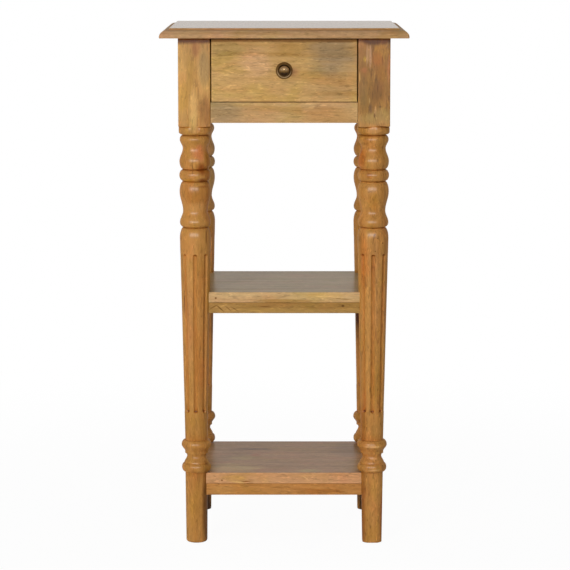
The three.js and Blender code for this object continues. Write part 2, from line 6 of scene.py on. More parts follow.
import bpy
import numpy as np
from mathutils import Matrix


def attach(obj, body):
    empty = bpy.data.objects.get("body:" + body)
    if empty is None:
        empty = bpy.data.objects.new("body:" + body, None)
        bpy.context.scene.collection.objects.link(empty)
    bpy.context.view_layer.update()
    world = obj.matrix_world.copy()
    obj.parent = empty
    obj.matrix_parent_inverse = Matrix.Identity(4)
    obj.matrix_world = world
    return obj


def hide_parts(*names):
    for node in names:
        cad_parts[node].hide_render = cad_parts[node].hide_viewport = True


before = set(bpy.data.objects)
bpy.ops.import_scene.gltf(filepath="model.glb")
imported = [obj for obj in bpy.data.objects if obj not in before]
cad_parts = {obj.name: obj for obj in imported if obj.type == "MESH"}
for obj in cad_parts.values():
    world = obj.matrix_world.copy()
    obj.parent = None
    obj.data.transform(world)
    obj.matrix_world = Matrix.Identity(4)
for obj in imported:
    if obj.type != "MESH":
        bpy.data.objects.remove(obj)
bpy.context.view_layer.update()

# ---------------------------------------------------------------------------------------------------------------
# The camera stands 4.2 m before the table, a little higher than its top, and looks down on it by some eight degrees
# through a long lens, so that the top shows as a thin band and the shelves as wider ones.
CAMERA_PLACE = (0.0013, -4.2, 1.0083)
CAMERA_TILT = math.radians(90 - 8.077)
CAMERA_LENS_MM, CAMERA_SENSOR_MM = 158.85, 36
CAMERA_NEAR, CAMERA_FAR = 0.1, 100

camera = bpy.data.objects.new("camera", bpy.data.cameras.new("camera"))
camera.data.sensor_width = CAMERA_SENSOR_MM
camera.data.lens = CAMERA_LENS_MM
camera.data.clip_start, camera.data.clip_end = CAMERA_NEAR, CAMERA_FAR
camera.location = CAMERA_PLACE
camera.rotation_euler = (CAMERA_TILT, 0, 0)
bpy.context.collection.objects.link(camera)
bpy.context.scene.camera = camera
bpy.context.scene.view_settings.view_transform = "Standard"


# ---------------------------------------------------------------------------------------------------------------
# The studio: a white room and a matt white floor that the eye, mirrors and glass see as plain white. A softer room
# and four softboxes light the wood, a wide low strip shines on the turned legs alone and a small lamp on the knob
# alone, and near the table the floor keeps a thin shadow.
class Wire:
    """One output of a shader node. A sum, difference, product or quotient of wires and numbers adds a Math node."""

    def __init__(self, tree, socket=None):
        self.tree, self.socket = tree, socket

    def node(self, kind, settings=(), values=(), out=0):
        """Adds any node: its settings come first, then the values or wires of its sockets, by name or number."""
        made = self.tree.nodes.new("ShaderNode" + kind)
        for name, value in dict(settings).items():
            setattr(made, name, value)
        for name, value in dict(values).items():
            if isinstance(value, Wire):
                self.tree.links.new(value.socket, made.inputs[name])
            else:
                made.inputs[name].default_value = value
        return Wire(self.tree, made.outputs[out] if made.outputs else None)

    def maths(self, operation, *values):
        return self.node("Math", {"operation": operation}, enumerate(values))

    def __add__(self, other):
        return self.maths("ADD", self, other)

    def __sub__(self, other):
        return self.maths("SUBTRACT", self, other)

    def __rsub__(self, other):
        return self.maths("SUBTRACT", other, self)

    def __mul__(self, other):
        return self.maths("MULTIPLY", self, other)

    def __truediv__(self, other):
        return self.maths("DIVIDE", self, other)

    __radd__, __rmul__ = __add__, __mul__


def clean_tree(holder):
    """The node tree of a material or world with nothing in it."""
    holder.use_nodes = True
    holder.node_tree.nodes.clear()
    return Wire(holder.node_tree)


def seen(tree):
    """1 for rays of the camera, of mirrors and of glass, 0 for the rays that light a matt surface."""
    rays = [tree.node("LightPath", out=name) for name in ("Is Camera Ray", "Is Glossy Ray", "Is Transmission Ray")]
    return rays[0].maths("MAXIMUM", rays[0].maths("MAXIMUM", rays[0], rays[1]), rays[2])


def ease(wire, low, high):
    """0 below low, 1 above high, and a smooth rise between them."""
    return wire.node("MapRange", {"interpolation_type": "SMOOTHSTEP"}, {0: wire, 1: low, 2: high})


ROOM_LIGHT = 0.35
FLOOR_REACH = 8.0
FLOOR_GREY = 0.9
FLOOR_OWN_WHITE = 0.96
SHADOW_REACH = (0.5, 1.6)

world = bpy.data.worlds.new("studio")
bpy.context.scene.world = world
tree = clean_tree(world)
strength = ROOM_LIGHT + seen(tree) * (1 - ROOM_LIGHT)
room = tree.node("Background", {}, {"Color": (1, 1, 1, 1), "Strength": strength})
tree.node("OutputWorld", {}, {"Surface": room})

floor_mesh = bpy.data.meshes.new("floor")
floor_mesh.from_pydata(
    [(x * FLOOR_REACH, y * FLOOR_REACH, 0) for x, y in ((-1, -1), (1, -1), (1, 1), (-1, 1))], [], [(0, 1, 2, 3)]
)
floor = bpy.data.objects.new("floor", floor_mesh)
bpy.context.collection.objects.link(floor)
floor_paint = bpy.data.materials.new("floor_paint")
tree = clean_tree(floor_paint)
matt = tree.node("BsdfDiffuse", {}, {"Color": (FLOOR_GREY, FLOOR_GREY, FLOOR_GREY, 1)})
white = tree.node("Emission", {}, {"Color": (1, 1, 1, 1), "Strength": 1.0})
place = tree.node("TexCoord", out="Object")
distance = tree.node("VectorMath", {"operation": "LENGTH"}, {0: place}, out="Value")
own_white = FLOOR_OWN_WHITE + ease(distance, *SHADOW_REACH) * (1 - FLOOR_OWN_WHITE)
surface = tree.node("MixShader", {}, {0: seen(tree) * own_white, 1: matt, 2: white})
tree.node("OutputMaterial", {}, {"Surface": surface})
floor.data.materials.append(floor_paint)

# Each lamp: where it stands and what it faces, its two sides, its watts, and the rays that don't see it.
LAMPS = {
    "key": ((-1.5, -3.3, 1.05), (0, 0, 0.45), (1.3, 1.3), 68, "glossy"),
    "high_front": ((0.0, -1.75, 2.65), (0, 0, 0.5), (0.75, 0.75), 8, "transmission"),
    "rear_left": ((-2.2, 2.8, 0.6), (0, 0, 0.45), (1.1, 1.1), 28, "glossy"),
    "rear_right": ((2.4, 2.6, 0.6), (0, 0, 0.45), (1.1, 1.1), 28, "glossy"),
    "strip": ((-0.7, -4.3, 1.5), (0, 0, 0.5), (5.4, 0.45), 540, "diffuse"),
    "glint": ((-0.1, -1.9, 2.0), (0, -0.15, 0.78), (0.26, 0.26), 26, "diffuse"),
}
for name, (stand, target, sides, watts, unseen_by) in LAMPS.items():
    lamp = bpy.data.lights.new(name, "AREA")
    lamp.shape, lamp.size, lamp.size_y, lamp.energy = "RECTANGLE", *sides, watts
    softbox = bpy.data.objects.new(name, lamp)
    bpy.context.collection.objects.link(softbox)
    gaze = np.subtract(target, stand)
    away = math.atan2(math.hypot(gaze[0], gaze[1]), gaze[2])
    softbox.rotation_euler = (math.pi + away, 0, math.atan2(gaze[1], gaze[0]) + math.pi / 2)
    softbox.location = stand
    setattr(softbox, "visible_" + unseen_by, False)

# The pieces that the strip and the glint shine on.
shone_on = {name: bpy.data.collections.new(f"{name}_pieces") for name in ("strip", "glint")}
for name, pieces in shone_on.items():
    bpy.data.objects[name].light_linking.receiver_collection = pieces

# ---------------------------------------------------------------------------------------------------------------
# The legs: each is one billet of hardwood, left square where the rail and aprons join it, turned below that, fluted
# down its tapering column and planed square again at the foot. Painted shade darkens the grooves, kerf and flutes.
MM = 0.001


def follow(start, direction, cuts):
    """A turner's profile in millimetres. A cut of (curve, length, radius) ends that far on, at that radius. With t
    from 0 to 1, roll_out takes the share sin(t pi/2) of the radius and 1 - cos(t pi/2) of the length, roll_in the
    other way round, sweep (1 - cos(t pi))/2 and t, and straight t of both."""
    radius, height = start
    points = [np.array([[radius, height]])]
    for curve, length, end in cuts:
        t = np.linspace(0, 1, 2 if curve == "straight" else 5 + int(abs(length) / 0.8))[1:]
        quarter = t * math.pi / 2
        shares = {
            "straight": (t, t),
            "roll_out": (np.sin(quarter), 1 - np.cos(quarter)),
            "roll_in": (1 - np.cos(quarter), np.sin(quarter)),
            "sweep": ((1 - np.cos(2 * quarter)) / 2, t),
        }[curve]
        points.append(np.stack([radius + (end - radius) * shares[0], height + direction * length * shares[1]], 1))
        radius, height = end, height + direction * length
    return np.concatenate(points)


def skin(name, points, body, slot, material, crease=28, **tones):
    """A closed piece on a grid of points. Each row is a loop that meets itself, rows are joined by quads, and the
    first and last rows are closed by one flat face each. Tones are numbers at the points that a material reads."""
    rows, columns = points.shape[:2]
    row, column = np.meshgrid(np.arange(rows - 1) * columns, np.arange(columns), indexing="ij")
    after = (column + 1) % columns
    quads = np.stack([row + column, row + after, row + columns + after, row + columns + column], -1).ravel()
    first, last = np.arange(columns)[::-1], (rows - 1) * columns + np.arange(columns)
    corners = np.concatenate([quads, first, last])
    starts = np.concatenate([np.arange(0, quads.size, 4), [quads.size, quads.size + columns]])
    mesh = bpy.data.meshes.new(name)
    mesh.vertices.add(rows * columns)
    mesh.vertices.foreach_set("co", points.ravel())
    mesh.loops.add(corners.size)
    mesh.loops.foreach_set("vertex_index", corners)
    mesh.polygons.add(starts.size)
    mesh.polygons.foreach_set("loop_start", starts)
    mesh.update(calc_edges=True)
    mesh.validate()
    mesh.shade_smooth()
    mesh.set_sharp_from_angle(angle=math.radians(crease))
    for key, values in tones.items():
        layer = mesh.attributes.new(key, "FLOAT", "POINT")
        layer.data.foreach_set("value", np.broadcast_to(values, (rows, columns)).ravel())
    mesh.materials.append(material)
    piece = bpy.data.objects.new(name, mesh)
    bpy.context.collection.objects.link(piece)
    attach(piece, body)
    return piece


def paint(red, green, blue):
    """A colour given by its three screen levels, 0 to 255, as the light levels that a shader works with."""
    level = np.array([red, green, blue]) / 255
    return (*np.where(level <= 0.04045, level / 12.92, ((level + 0.055) / 1.055) ** 2.4), 1)


def blend(factor, first, second, how="MIX"):
    """The first colour where the factor is 0 and the second where it is 1, or the first times the second."""
    settings = {"data_type": "RGBA", "blend_type": how}
    return factor.node("Mix", settings, {0: factor, 6: first, 7: second}, out=2)


def tone(wire, name):
    """A number that the piece's mesh holds at its points."""
    return wire.node("Attribute", {"attribute_name": name}, out="Fac")


# The layers of the wood's figure: noise cells per metre along and across the grain, a shift that sets the layer apart
# from the others, and the noise's detail, roughness and distortion. The cells of a mottle come with the piece.
FIGURE = {
    "drift": (5, 9, 9.0, 1.0, 0.5, 0.0),
    "ragged": (14, 45, 2.0, 3.0, 0.6, 0.0),
    "bend": (1.2, 8, 1.0, 3.0, 0.55, 0.0),
    "band": (2.5, 70, 13.0, 2.0, 0.5, 0.5),
    "fleck": (70, 300, 3.0, 2.0, 0.6, 0.6),
    "stroke": (55, 330, 6.0, 2.0, 0.6, 0.9),
    "gleam": (80, 340, 8.0, 1.0, 0.6, 0.9),
    "fine": (120, 1500, 4.0, 1.0, 0.5, 0.0),
    "pores": (130, 1250, 5.0, 1.0, 0.5, 0.0),
}
MOTTLES = {"olive": (7.0, 3.0, 0.55, 0.4), "blush": (11.0, 3.0, 0.55, 0.6)}
# The two levels between which each layer comes to show in full.
SHOWS = {
    "wash": (0.35, 1.15), "mottle": (0.46, 0.70), "ring": (0.40, 0.64), "band": (0.50, 0.70),
    "stroke": (0.56, 0.66), "gleam": (0.60, 0.70), "pores": (0.58, 0.70), "pit": (0.9, 1.6),
}
# What each layer multiplies the colour by, and how strong the layers are that every piece has.
# The hollow and pit tints paint shade in grooves and flutes, and the upper tint paints shade on top faces.
TINTS = {
    "olive": (0.92, 0.96, 0.74, 1), "blush": (1.06, 0.94, 0.96, 1), "ring": (0.88, 0.82, 0.72, 1),
    "band": (0.86, 0.77, 0.62, 1), "upper": (0.68, 0.76, 0.84, 1), "hollow": (0.92, 0.64, 0.34, 1),
    "pit": (0.42, 0.36, 0.28, 1),
}
MOTTLE_STRENGTH, RING_STRENGTH, BAND_STRENGTH, BAND_SHADE = 0.8, 0.4, 0.6, 0.21
WASH_RAGGED, GRAIN_DRIFT = 1.5, 0.016
RING_WIDTH, RING_BEND, PITH_STRETCH = 0.0045, 0.05, 0.05


def wood(
    name, grain, body, place, washes=(), figure=1.0, mottle=(13, 27), hollow=0.0, edge=0.0, polish=0.0,
    roughness=0.55, coat=0.2, coat_roughness=0.28,
):
    """Lacquered hardwood with its grain along one axis, cut at a place in the log. Over the body colour lie washes
    with ragged borders, each an ellipsoid given by its centre and reach in millimetres, its stain and strength and,
    for some, by how many degrees it is turned in the face. Then come an olive and a reddish mottling, growth rings
    as a random tone of the distance to a pith that slow noise bends, long darker bands, and short flecks and pores,
    as strong as the figure says, along a grain that drifts a little. The hollow tone paints shade, darkest where it
    is above one, the edge tone makes the wood lighter, and the upper tone paints shade that makes the wood duller
    and makes its coat thicker by the polish."""
    material = bpy.data.materials.new(name)
    spot = clean_tree(material).node("TexCoord", out="Object")

    def in_log(where, along, across, shift):
        """The place in the log, stretched along the grain."""
        scale = [across] * 3
        scale[grain] = along
        values = {"Vector": where, "Location": [p + shift for p in place], "Scale": scale}
        return spot.node("Mapping", {}, values)

    def layer(where, along, across, shift, detail, decay, distortion, out="Fac"):
        values = {
            "Vector": in_log(where, along, across, shift), "Scale": 1.0, "Detail": detail, "Roughness": decay,
            "Distortion": distortion,
        }
        return spot.node("TexNoise", {}, values, out)

    def tinted(colour, factor, tint):
        return blend(factor, colour, TINTS[tint], "MULTIPLY")

    drift = layer(spot, *FIGURE["drift"], out="Color")
    flow = spot.node("VectorMath", {"operation": "MULTIPLY_ADD"}, {0: drift, 1: (GRAIN_DRIFT,) * 3, 2: spot})
    ragged = (layer(spot, *FIGURE["ragged"]) - 0.5) * WASH_RAGGED
    colour = body
    for centre, reach, stain, strength, *turn in washes:
        lie = {"Location": np.multiply(centre, MM), "Rotation": (0, math.radians(sum(turn)), 0)}
        away = spot.node("Mapping", {"vector_type": "TEXTURE"}, {0: spot, **lie, "Scale": np.multiply(reach, MM)})
        far = spot.node("VectorMath", {"operation": "LENGTH"}, {0: away}, out="Value")
        colour = blend(strength * (1 - ease(far + ragged, *SHOWS["wash"])), colour, stain)
    for tint, noise in MOTTLES.items():
        mottling = ease(layer(spot, *mottle, *noise), *SHOWS["mottle"])
        colour = tinted(colour, mottling * MOTTLE_STRENGTH, tint)
    pith = spot.node("VectorMath", {"operation": "LENGTH"}, {0: in_log(flow, PITH_STRETCH, 1.0, 0.0)}, out="Value")
    rings = (pith + layer(spot, *FIGURE["bend"]) * RING_BEND) / RING_WIDTH
    growth = spot.node(
        "TexNoise", {"noise_dimensions": "1D"}, {"W": rings, "Scale": 0.6, "Detail": 2.5, "Roughness": 0.6},
    )
    colour = tinted(colour, ease(growth, *SHOWS["ring"]) * RING_STRENGTH, "ring")
    band = layer(flow, *FIGURE["band"])
    colour = tinted(colour, ease(band, *SHOWS["band"]) * BAND_STRENGTH, "band")
    fleck, fine = (layer(flow, *FIGURE[key]) - 0.5 for key in ("fleck", "fine"))
    stroke, gleam, pores = (ease(layer(flow, *FIGURE[key]), *SHOWS[key]) for key in ("stroke", "gleam", "pores"))
    speckle = fleck * 0.55 - stroke * 0.24 + gleam * 0.22 + fine * 0.1 - pores * 0.1
    level = 1 + speckle * figure + (0.5 - band) * BAND_SHADE
    # The upper tone paints shade on top faces, duller and greyer, and the polish thickens the coat there.
    if polish:
        upper = tone(spot, "upper")
        colour = tinted(colour, upper, "upper")
        coat = coat + upper * polish
    if edge:
        level = level * (1 + edge * tone(spot, "edge"))
    colour = spot.node("VectorMath", {"operation": "SCALE"}, {0: colour, 3: level})
    # The hollow tone paints shade, and past one the pit tint paints the darkest shade at the flutes' ends.
    if hollow:
        sunk = tone(spot, "hollow")
        colour = tinted(colour, sunk * hollow, "hollow")
        colour = tinted(colour, ease(sunk, *SHOWS["pit"]), "pit")
    height = fleck * 0.6 - stroke * 0.3 - pores * 0.5 + growth * 0.4
    bump = spot.node("Bump", {}, {"Strength": 0.2, "Distance": 0.0005, "Height": height})
    values = {
        "Base Color": colour, "Roughness": roughness + fleck * 0.10 + pores * 0.12, "Normal": bump,
        "Coat Weight": coat, "Coat Roughness": coat_roughness, "Specular IOR Level": 0.0,
    }
    spot.node("OutputMaterial", {}, {"Surface": spot.node("BsdfPrincipled", {}, values)})
    return material


# Sizes in millimetres. The blocks' front faces lie in one plane with the drawer's. The block counts as turned to a
# radius that lies past the billet's corners.
FACE_Y = -146
LEG_HEIGHT, LEG_TOP_EASED = 833.7, 0.8
BLOCK_HALF, BLOCK_LOW, BLOCK_ARRIS, BLOCK_TURNING = 26.0, 691.0, 1.5, 60.0
FOOT_HEIGHT, FOOT_ARRIS = 118.5, 2.0
COLLAR, NECK = 27.8, 18.7
KERF_SLOPE = 1.2
UPPER_TURNING = [
    ("straight", 4.6, COLLAR), ("roll_in", 7.8, NECK), ("roll_out", 7.7, 24.7), ("sweep", 14.0, 20.0),
    ("sweep", 21.5, 25.4), ("roll_in", 13.0, NECK), ("roll_out", 9.6, 25.7), ("roll_in", 9.6, NECK),
    ("roll_out", 17.3, 25.4), ("sweep", 31.3, 20.0), ("sweep", 19.0, 25.1), ("roll_in", 7.7, NECK),
    ("roll_out", 18.5, 25.4),
]
LOWER_TURNING = follow((18.0, FOOT_HEIGHT), 1, [
    ("roll_out", 7.5, 24.0), ("roll_in", 7.0, 20.2), ("sweep", 12.5, 15.5), ("straight", 4.5, 16.8),
    ("straight", 0.0, 18.8), ("straight", 2.5, 18.8), ("sweep", 11.5, 24.5), ("roll_in", 8.5, 18.4),
])
FLUTE_LOW, FLUTE_HIGH, FLUTE_WIDTH, FLUTE_DEPTH = 218.5, 483.0, 7.4, 2.7
FLUTE_END_ROWS = np.linspace(-0.6, 5.4, 16)
FLUTE_MARGIN = 5
# The points round a leg lie a little closer between two flutes than in them.
POINTS_IN_QUARTER, POINTS_CLOSER = 56, 0.035
# The kerf of a leg may wander in three waves round it, which fade above and below it.
KERF_MIDDLE = BLOCK_LOW - KERF_SLOPE
KERF_WAVES, KERF_HIGHEST, KERF_FADE = 3, math.radians(285), 4.5


def flutes(z, angle, reach):
    """How deep the flutes cut. Each is a segment of a circle across the surface, about every 45 degrees, and past
    its ends the distance to the end's centre takes the place of the distance across."""
    across = reach * np.sin((angle + math.pi / 8) % (math.pi / 4) - math.pi / 8)
    end_room = FLUTE_WIDTH / 2
    past = np.maximum(0, np.maximum(FLUTE_LOW + end_room - z, z - FLUTE_HIGH + end_room))[:, None]
    curve = (FLUTE_WIDTH**2 / 4 + FLUTE_DEPTH**2) / (2 * FLUTE_DEPTH)
    depth = np.maximum(0, np.sqrt(np.maximum(curve**2 - across**2 - past**2, 0)) - curve + FLUTE_DEPTH)
    in_column = (z > FLUTE_LOW - FLUTE_MARGIN) & (z < FLUTE_HIGH + FLUTE_MARGIN)
    return np.where(in_column[:, None], depth, 0)


def bell(value, middle, width):
    """A bell curve that is 1 at its middle: exp of minus the square of (value - middle) / width."""
    return np.exp(-(((value - middle) / width) ** 2))


OUTLINE_STEP, OUTLINE_WINDOW = 0.5, 31
GROOVE_DEPTH, KERF_SHADE_WIDTH = 3.2, 0.7
FLUTE_SHADE, FLUTE_END_DEPTH = 0.6, 1.2


def painted_groove_shade(z, turning, billet, kerf_radius, flute):
    """The hollow tone, painted shade. A groove is as deep as the turned radius is less than its own outline smoothed
    along the leg. The tone rises to 1 with that depth, in the kerf and in the flutes, and goes past 1 by the ends of
    the flutes, where the painted shade is darkest."""
    level = np.arange(0, LEG_HEIGHT, OUTLINE_STEP)
    outline = np.interp(level, z + np.arange(z.size) * 1e-6, np.minimum(turning, BLOCK_HALF + 1))
    window = np.hanning(OUTLINE_WINDOW)
    smooth = np.convolve(np.pad(outline, OUTLINE_WINDOW // 2, "edge"), window / window.sum(), "valid")
    groove = np.clip((np.interp(z, level, smooth) - turning) / GROOVE_DEPTH, 0, 1)[:, None]
    in_kerf = bell(z, KERF_MIDDLE, KERF_SHADE_WIDTH)[:, None] * (billet > kerf_radius)
    sunk = np.maximum(groove * (turning[:, None] <= billet + 0.01), in_kerf)
    # The ends of the flutes get the darkest painted shade.
    ends = bell(z, FLUTE_HIGH - 2.0, 1.8) + bell(z, FLUTE_LOW + 3.0, 3.0)
    full = np.clip(sunk + FLUTE_SHADE * flute / FLUTE_DEPTH, 0, 1)
    return full + np.minimum(flute / FLUTE_END_DEPTH, 1) * ends[:, None]


def turned_leg(x, y, foot, kerf):
    """A leg's points and its hollow and edge tones. At an angle from its axis the surface lies at the lesser of two
    reaches, the turned radius and the reach of the square billet, less the flutes. The billet's reach is half / cos
    from the middle of a face, and by its eased corner the far crossing with the corner's arc. The foot is given by
    its half width at the floor and at its head, by its turned radius in half widths, by the easing of its lower edge
    and by how far that edge is out to the right, and the kerf by its radius and by how far it wanders up and down."""
    foot_low, foot_high, foot_round, foot_ease, foot_lean = foot
    kerf_radius, kerf_wander = kerf
    kerf_cuts = [("straight", KERF_SLOPE, kerf_radius), ("straight", KERF_SLOPE, COLLAR)]
    upper = follow((math.sqrt(2) * BLOCK_HALF - KERF_SLOPE, BLOCK_LOW), -1, kerf_cuts + UPPER_TURNING)[::-1]
    low_rows = foot_ease * (1 - np.cos(np.linspace(0, math.pi / 2, 7)))
    foot_z = np.concatenate([low_rows, np.linspace(foot_ease + 1, FOOT_HEIGHT, 12)])
    foot_half = foot_low + (foot_high - foot_low) * foot_z / FOOT_HEIGHT
    inset = foot_ease - np.sqrt(np.maximum(foot_ease**2 - (foot_ease - np.minimum(foot_z, foot_ease)) ** 2, 0))
    column = np.array([LOWER_TURNING[-1], upper[0]])
    column_z = np.unique(np.concatenate([
        np.linspace(*column[:, 1], 24)[1:-1], FLUTE_LOW + FLUTE_END_ROWS, FLUTE_HIGH - FLUTE_END_ROWS,
    ]))
    taper = np.interp(column_z, column[:, 1], column[:, 0])
    block_z = np.array([BLOCK_LOW + 0.1, BLOCK_LOW + 1.0, 700.0, 730.0, 780.0, LEG_HEIGHT - 1.0, LEG_HEIGHT])
    z = np.concatenate([foot_z, LOWER_TURNING[:, 1], column_z, upper[:, 1], block_z])
    turning = np.concatenate([
        foot_round * foot_half - inset, LOWER_TURNING[:, 0], taper, upper[:, 0], np.full(block_z.size, BLOCK_TURNING),
    ])
    half = np.concatenate([foot_half - inset, np.full(z.size - foot_z.size, BLOCK_HALF)])
    half[-1] -= LEG_TOP_EASED

    quarter = np.linspace(0, 1, POINTS_IN_QUARTER + 1)[:-1]
    quarter = quarter + POINTS_CLOSER * np.sin(4 * math.pi * quarter) / math.pi
    angle = np.concatenate([quarter + k for k in range(4)]) * math.pi / 2
    folded = np.abs((angle + math.pi / 4) % (math.pi / 2) - math.pi / 4)
    corner = np.where(z > FOOT_HEIGHT, BLOCK_ARRIS, FOOT_ARRIS)[:, None]
    h = half[:, None]
    inner = h - corner
    arc = inner * (np.cos(folded) + np.sin(folded)) + np.sqrt(
        np.maximum(corner**2 - inner**2 * (1 - np.sin(2 * folded)), 0)
    )
    billet = np.where(h * np.tan(folded) > inner, arc, h / np.cos(folded))
    reach = np.minimum(turning[:, None], billet)
    flute = flutes(z, angle, reach)
    hollow = painted_groove_shade(z, turning, billet, kerf_radius, flute)
    edge = np.clip((h * np.tan(folded) - inner) / corner, 0, 1) * ((z > BLOCK_LOW) | (z < FOOT_HEIGHT))[:, None]

    rise = kerf_wander * np.cos(KERF_WAVES * (angle - KERF_HIGHEST)) * bell(z, KERF_MIDDLE, KERF_FADE)[:, None]
    lean = foot_lean * np.clip(1 - z / FOOT_HEIGHT, 0, 1)[:, None]
    reach = reach - flute
    points = np.stack([x + lean + reach * np.cos(angle), y + reach * np.sin(angle), z[:, None] + rise], -1)
    return points * MM, hollow, edge


LEG_WOOD = paint(181, 129, 66)
LEG_MOTTLE, LEG_GROOVE_SHADE, LEG_EDGE_TONE = (17, 36), 0.7, 0.06
# The colour of the painted shadow that the top casts on the pieces close under it.
SHADOW_UNDER_TOP = paint(100, 54, 2)
